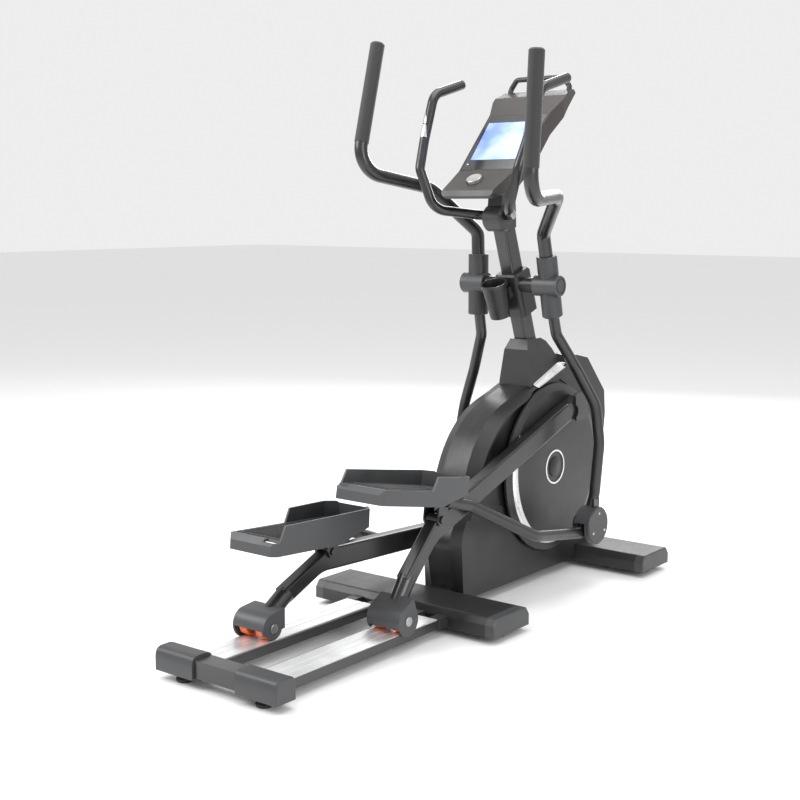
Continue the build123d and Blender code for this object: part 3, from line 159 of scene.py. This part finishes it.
def lit_screen():
    """A soft picture of blue and lavender bands on a lit display."""
    m = bpy.data.materials.new("lit_screen")
    m.use_nodes = True
    n, l = m.node_tree.nodes, m.node_tree.links
    b = n["Principled BSDF"]
    b.inputs["Roughness"].default_value = 0.2
    at = n.new("ShaderNodeTexCoord")
    clouds = n.new("ShaderNodeTexNoise")
    clouds.inputs["Scale"].default_value = 9.0
    clouds.inputs["Detail"].default_value = 2.0
    ramp = n.new("ShaderNodeValToRGB")
    ramp.color_ramp.elements[0].position = 0.3
    ramp.color_ramp.elements[0].color = (0.13, 0.2, 0.78, 1)
    ramp.color_ramp.elements[1].position = 0.7
    ramp.color_ramp.elements[1].color = (0.4, 0.4, 0.85, 1)
    mid = ramp.color_ramp.elements.new(0.5)
    mid.color = (0.27, 0.36, 0.85, 1)
    l.new(at.outputs["Object"], clouds.inputs["Vector"])
    l.new(clouds.outputs["Fac"], ramp.inputs["Fac"])
    l.new(ramp.outputs["Color"], b.inputs["Base Color"])
    l.new(ramp.outputs["Color"], b.inputs["Emission Color"])
    b.inputs["Emission Strength"].default_value = 0.75
    return m


# ---- mesh helpers ----
def to_mesh(name, bm):
    """Turns the faces outwards and hands the mesh over."""
    bmesh.ops.recalc_face_normals(bm, faces=bm.faces)
    mesh = bpy.data.meshes.new(name)
    bm.to_mesh(mesh)
    bm.free()
    return mesh


def keep(name, mesh, material, body, bevel=0.0, smooth=True):
    """Adds a mesh to the scene as a piece that rides on a body."""
    for face in mesh.polygons:
        face.use_smooth = smooth
    mesh.materials.append(material)
    piece = bpy.data.objects.new(name, mesh)
    bpy.context.scene.collection.objects.link(piece)
    if bevel:
        edge = piece.modifiers.new("edge", "BEVEL")
        edge.width = bevel
        edge.segments = 2
        edge.limit_method = "ANGLE"
        edge.harden_normals = False
    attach(piece, body)
    return piece


def prism(points, across, thick):
    """Mesh of a flat outline: points on its front face, and a vector through its thickness."""
    bm = bmesh.new()
    front = [bm.verts.new(p) for p in points]
    back = [bm.verts.new(Vector(p) - Vector(across) * thick) for p in points]
    bm.faces.new(front)
    bm.faces.new(reversed(back))
    for i in range(len(points)):
        j = (i + 1) % len(points)
        bm.faces.new((front[j], front[i], back[i], back[j]))
    return to_mesh("prism", bm)


def lathe(profile, centre, axis, steps=48):
    """Mesh turned about an axis: profile is (radius, height) pairs, joined end to end."""
    bm = bmesh.new()
    turn = Vector(axis).to_track_quat("Z", "Y")
    rings = []
    for r, h in profile:
        if r < 1e-6:
            rings.append([bm.verts.new(turn @ Vector((0, 0, h)) + Vector(centre))])
        else:
            angles = [2 * pi * i / steps for i in range(steps)]
            rings.append([bm.verts.new(turn @ Vector((r * cos(a), r * sin(a), h)) + Vector(centre))
                          for a in angles])
    for a, b in zip(rings, rings[1:]):
        for i in range(steps):
            j = (i + 1) % steps
            if len(a) == 1 and len(b) == 1:
                continue
            if len(a) == 1:
                bm.faces.new((a[0], b[i], b[j]))
            elif len(b) == 1:
                bm.faces.new((a[i], b[0], a[j]))
            else:
                bm.faces.new((a[i], b[i], b[j], a[j]))
    return to_mesh("lathe", bm)


def thicken(piece, thickness, offset):
    """Gives an open strip a thickness."""
    thick = piece.modifiers.new("thick", "SOLIDIFY")
    thick.thickness = thickness
    thick.offset = offset


def screw(name, centre, axis, body, radius=0.005, head=0.0026):
    """A pan-head screw with a sunken middle."""
    r = radius
    profile = [(0, head * 0.35), (r * 0.46, head * 0.35), (r * 0.5, head), (r * 0.8, head),
               (r * 0.97, head * 0.7), (r, head * 0.1), (r, -0.0005)]
    return keep(name, lathe(profile, centre, axis, 24), MATS["steel"], body)


# ---- console ----
low, high = Vector((0, 0.291, 1.391)), Vector((0, 0.483, 1.581))
up_screen = (high - low).normalized()
out_screen = Vector((0, -up_screen.z, up_screen.y))
mid_screen = Vector((0, 0.387, 1.486))


def on_screen(x, v, lift=0.0):
    return Vector((x, 0, 0)) + mid_screen + up_screen * v + out_screen * lift


PICTURE_LOW, PICTURE_HIGH = -0.083, 0.093
PICTURE_HALF_LOW, PICTURE_HALF_HIGH, PICTURE_LIFT = 0.086, 0.1, 0.0014
picture = [on_screen(-PICTURE_HALF_LOW, PICTURE_LOW, PICTURE_LIFT),
           on_screen(PICTURE_HALF_LOW, PICTURE_LOW, PICTURE_LIFT),
           on_screen(PICTURE_HALF_HIGH, PICTURE_HIGH, PICTURE_LIFT),
           on_screen(-PICTURE_HALF_HIGH, PICTURE_HIGH, PICTURE_LIFT)]
keep("screen_picture", prism(picture, out_screen, 0.001), lit_screen(), "frame", smooth=False)
keep("status_light", lathe([(0, 0.0016), (0.0026, 0.0012), (0.003, 0.0)], on_screen(-0.088, -0.104, 0.0003),
                           out_screen, 20), WHITE, "frame")

# ---- markings on the crank discs ----
DISC_FACE = 0.1012
RING_INNER, RING_OUTER, RING_HEIGHT = 0.0535, 0.0595, 0.0011
RING = [(RING_INNER, 0.0), (RING_INNER, RING_HEIGHT), (RING_OUTER, RING_HEIGHT), (RING_OUTER, 0.0),
        (RING_INNER, 0.0)]
HUB_CAP = [(0, 0.0024), (0.018, 0.0022), (0.021, 0.0012), (0.034, 0.0009), (0.0355, 0.0)]
CRESCENT_STEPS, CRESCENT_START, CRESCENT_SWEEP = 72, radians(148), radians(142)
CRESCENT_RADIUS, CRESCENT_WIDTH, CRESCENT_TIP = 0.2632, 0.032, 0.0008
CRESCENT_LIFT, CRESCENT_THICK = 0.0004, 0.0006

for name, sign, _ in SIDES:
    face = CRANK + Vector((sign * DISC_FACE, 0, 0))
    keep(f"{name}_hub_ring", lathe(RING, face, (sign, 0, 0), 96), WHITE, "crank")
    keep(f"{name}_hub_cap", lathe(HUB_CAP, face, (sign, 0, 0), 64), MATS["black_plastic"], "crank")

    bm = bmesh.new()
    inner, outer = [], []
    for i in range(CRESCENT_STEPS + 1):
        t = i / CRESCENT_STEPS
        a = CRESCENT_START + CRESCENT_SWEEP * t
        width = CRESCENT_TIP
        if 0 < t < 1:
            width += CRESCENT_WIDTH * sin(pi * t ** 0.62) ** 0.9
        for row, r in ((inner, CRESCENT_RADIUS - width), (outer, CRESCENT_RADIUS)):
            x = sign * (DISC_FACE + CRESCENT_LIFT)
            row.append(bm.verts.new(CRANK + Vector((x, r * cos(a), r * sin(a)))))
    for i in range(CRESCENT_STEPS):
        bm.faces.new((inner[i], inner[i + 1], outer[i + 1], outer[i]))
    arc = keep(f"{name}_rim_crescent", to_mesh("crescent", bm), SILVER, "crank")
    thicken(arc, CRESCENT_THICK, -1.0)

# ---- silver stripe along each side of the neck ----
def skin(sign, y, z):
    """Point on the outside of the casing, looking in from one side."""
    best = None
    for name in ("neck_cover", "shroud_right" if sign > 0 else "shroud_left"):
        shell = nodes[name]
        back = shell.matrix_world.inverted()
        outside, inwards = Vector((sign * 0.5, y, z)), Vector((-sign, 0, 0))
        found, spot, _, _ = shell.ray_cast(back @ outside, back.to_3x3() @ inwards)
        if found:
            spot = shell.matrix_world @ spot
            if best is None or abs(spot.x) > abs(best.x):
                best = spot
    return best


STRIPE_START, STRIPE_ALONG = Vector((0, 0.492, 0.681)), Vector((0, 0.175, 0.06))
STRIPE_STEPS, STRIPE_HALF, STRIPE_LIFT, STRIPE_THICK = 40, 0.0065, 0.0009, 0.0008
STRIPE_ROW = (-1, -0.5, 0, 0.5, 1)
stripe_across = Vector((0, -STRIPE_ALONG.z, STRIPE_ALONG.y)).normalized()

for name, sign, _ in SIDES:
    bm = bmesh.new()
    rows = []
    for i in range(STRIPE_STEPS + 1):
        middle = STRIPE_START + STRIPE_ALONG * (i / STRIPE_STEPS)
        row = []
        for side in STRIPE_ROW:
            p = middle + stripe_across * side * STRIPE_HALF
            spot = skin(sign, p.y, p.z)
            if spot:
                row.append(bm.verts.new(spot + Vector((sign * STRIPE_LIFT, 0, 0))))
        if len(row) == len(STRIPE_ROW):
            rows.append(row)
    for low_row, high_row in zip(rows, rows[1:]):
        for i in range(len(STRIPE_ROW) - 1):
            bm.faces.new((low_row[i], low_row[i + 1], high_row[i + 1], high_row[i]))
    loose = [v for v in bm.verts if not v.link_faces]
    bmesh.ops.delete(bm, geom=loose, context="VERTS")
    stripe = keep(f"{name}_neck_stripe", to_mesh("stripe", bm), SILVER, "frame")
    thicken(stripe, STRIPE_THICK, 0.0)

# ---- screws on the lower pivot covers ----
SCREW_COUNT, SCREW_CIRCLE = 3, 0.042
bodies = frame["record"]["behaviour"]["bodies"]


def body_of(node):
    """Body that a CAD node belongs to."""
    return next(body for body, held in bodies.items() if node in held)


for name, sign, centre in SIDES:
    cover = nodes[f"{name}_lower_pivot_cover"]
    reach = max(abs((cover.matrix_world @ v.co).x) for v in cover.data.vertices)
    for k in range(SCREW_COUNT):
        turn = pi / 2 + 2 * pi * k / SCREW_COUNT
        spot = Vector((sign * reach, centre[0] + SCREW_CIRCLE * cos(turn),
                       centre[1] + SCREW_CIRCLE * sin(turn)))
        screw(f"{name}_pivot_screw_{k + 1}", spot, (sign, 0, 0), body_of(f"{name}_lower_pivot_cover"))

# ---- camera, light and floor ----
AZIMUTH, ELEVATION = radians(38.23), radians(8.25)
camera = bpy.data.objects.new("camera", bpy.data.cameras.new("camera"))
camera.data.lens = 59.83  # in millimetres, for the 36 mm sensor
camera.data.sensor_width = 36.0
camera.data.clip_end = 100
camera.location = (2.46104, -3.27908, 1.27563)
look = Vector((-sin(AZIMUTH) * cos(ELEVATION), cos(AZIMUTH) * cos(ELEVATION), -sin(ELEVATION)))
camera.rotation_euler = look.to_track_quat("-Z", "Y").to_euler()
bpy.context.scene.collection.objects.link(camera)
bpy.context.scene.camera = camera


def lamp(name, spot, target, size, power):
    """Adds a soft white area lamp that points at a target."""
    data = bpy.data.lights.new(name, "AREA")
    data.shape = "RECTANGLE"
    data.size, data.size_y = size
    data.energy = power
    o = bpy.data.objects.new(name, data)
    o.location = spot
    o.rotation_euler = (Vector(target) - Vector(spot)).to_track_quat("-Z", "Y").to_euler()
    bpy.context.scene.collection.objects.link(o)


lamp("key", (-2.6, -3.0, 3.4), (0, 0, 0.7), (2.4, 2.4), 150)
lamp("fill", (4.2, -1.2, 2.2), (0, 0.2, 0.7), (2.2, 3.0), 95)
lamp("top", (0.2, 0.2, 4.2), (0, 0, 0), (3.2, 3.2), 95)
lamp("back", (-1.5, 4.0, 2.8), (0, 0, 0.9), (3.0, 2.0), 130)

world = bpy.data.worlds.new("studio")
world.use_nodes = True
world.node_tree.nodes["Background"].inputs["Color"].default_value = (1, 1, 1, 1)
world.node_tree.nodes["Background"].inputs["Strength"].default_value = 0.85
bpy.context.scene.world = world
bpy.context.scene.view_settings.view_transform = "Standard"

FLOOR_HALF, FLOOR_LEVEL = 30, -0.0005
floor_mesh = bpy.data.meshes.new("floor")
bm = bmesh.new()
corners = [bm.verts.new((x * FLOOR_HALF, y * FLOOR_HALF, FLOOR_LEVEL))
           for x, y in ((-1, -1), (1, -1), (1, 1), (-1, 1))]
bm.faces.new(corners)
bm.to_mesh(floor_mesh)
bm.free()
floor_mesh.materials.append(finish("floor_white", (0.86, 0.86, 0.86), 0.7, grain=40, bump=0.01, vary=0.01))
floor = bpy.data.objects.new("floor", floor_mesh)
bpy.context.scene.collection.objects.link(floor)
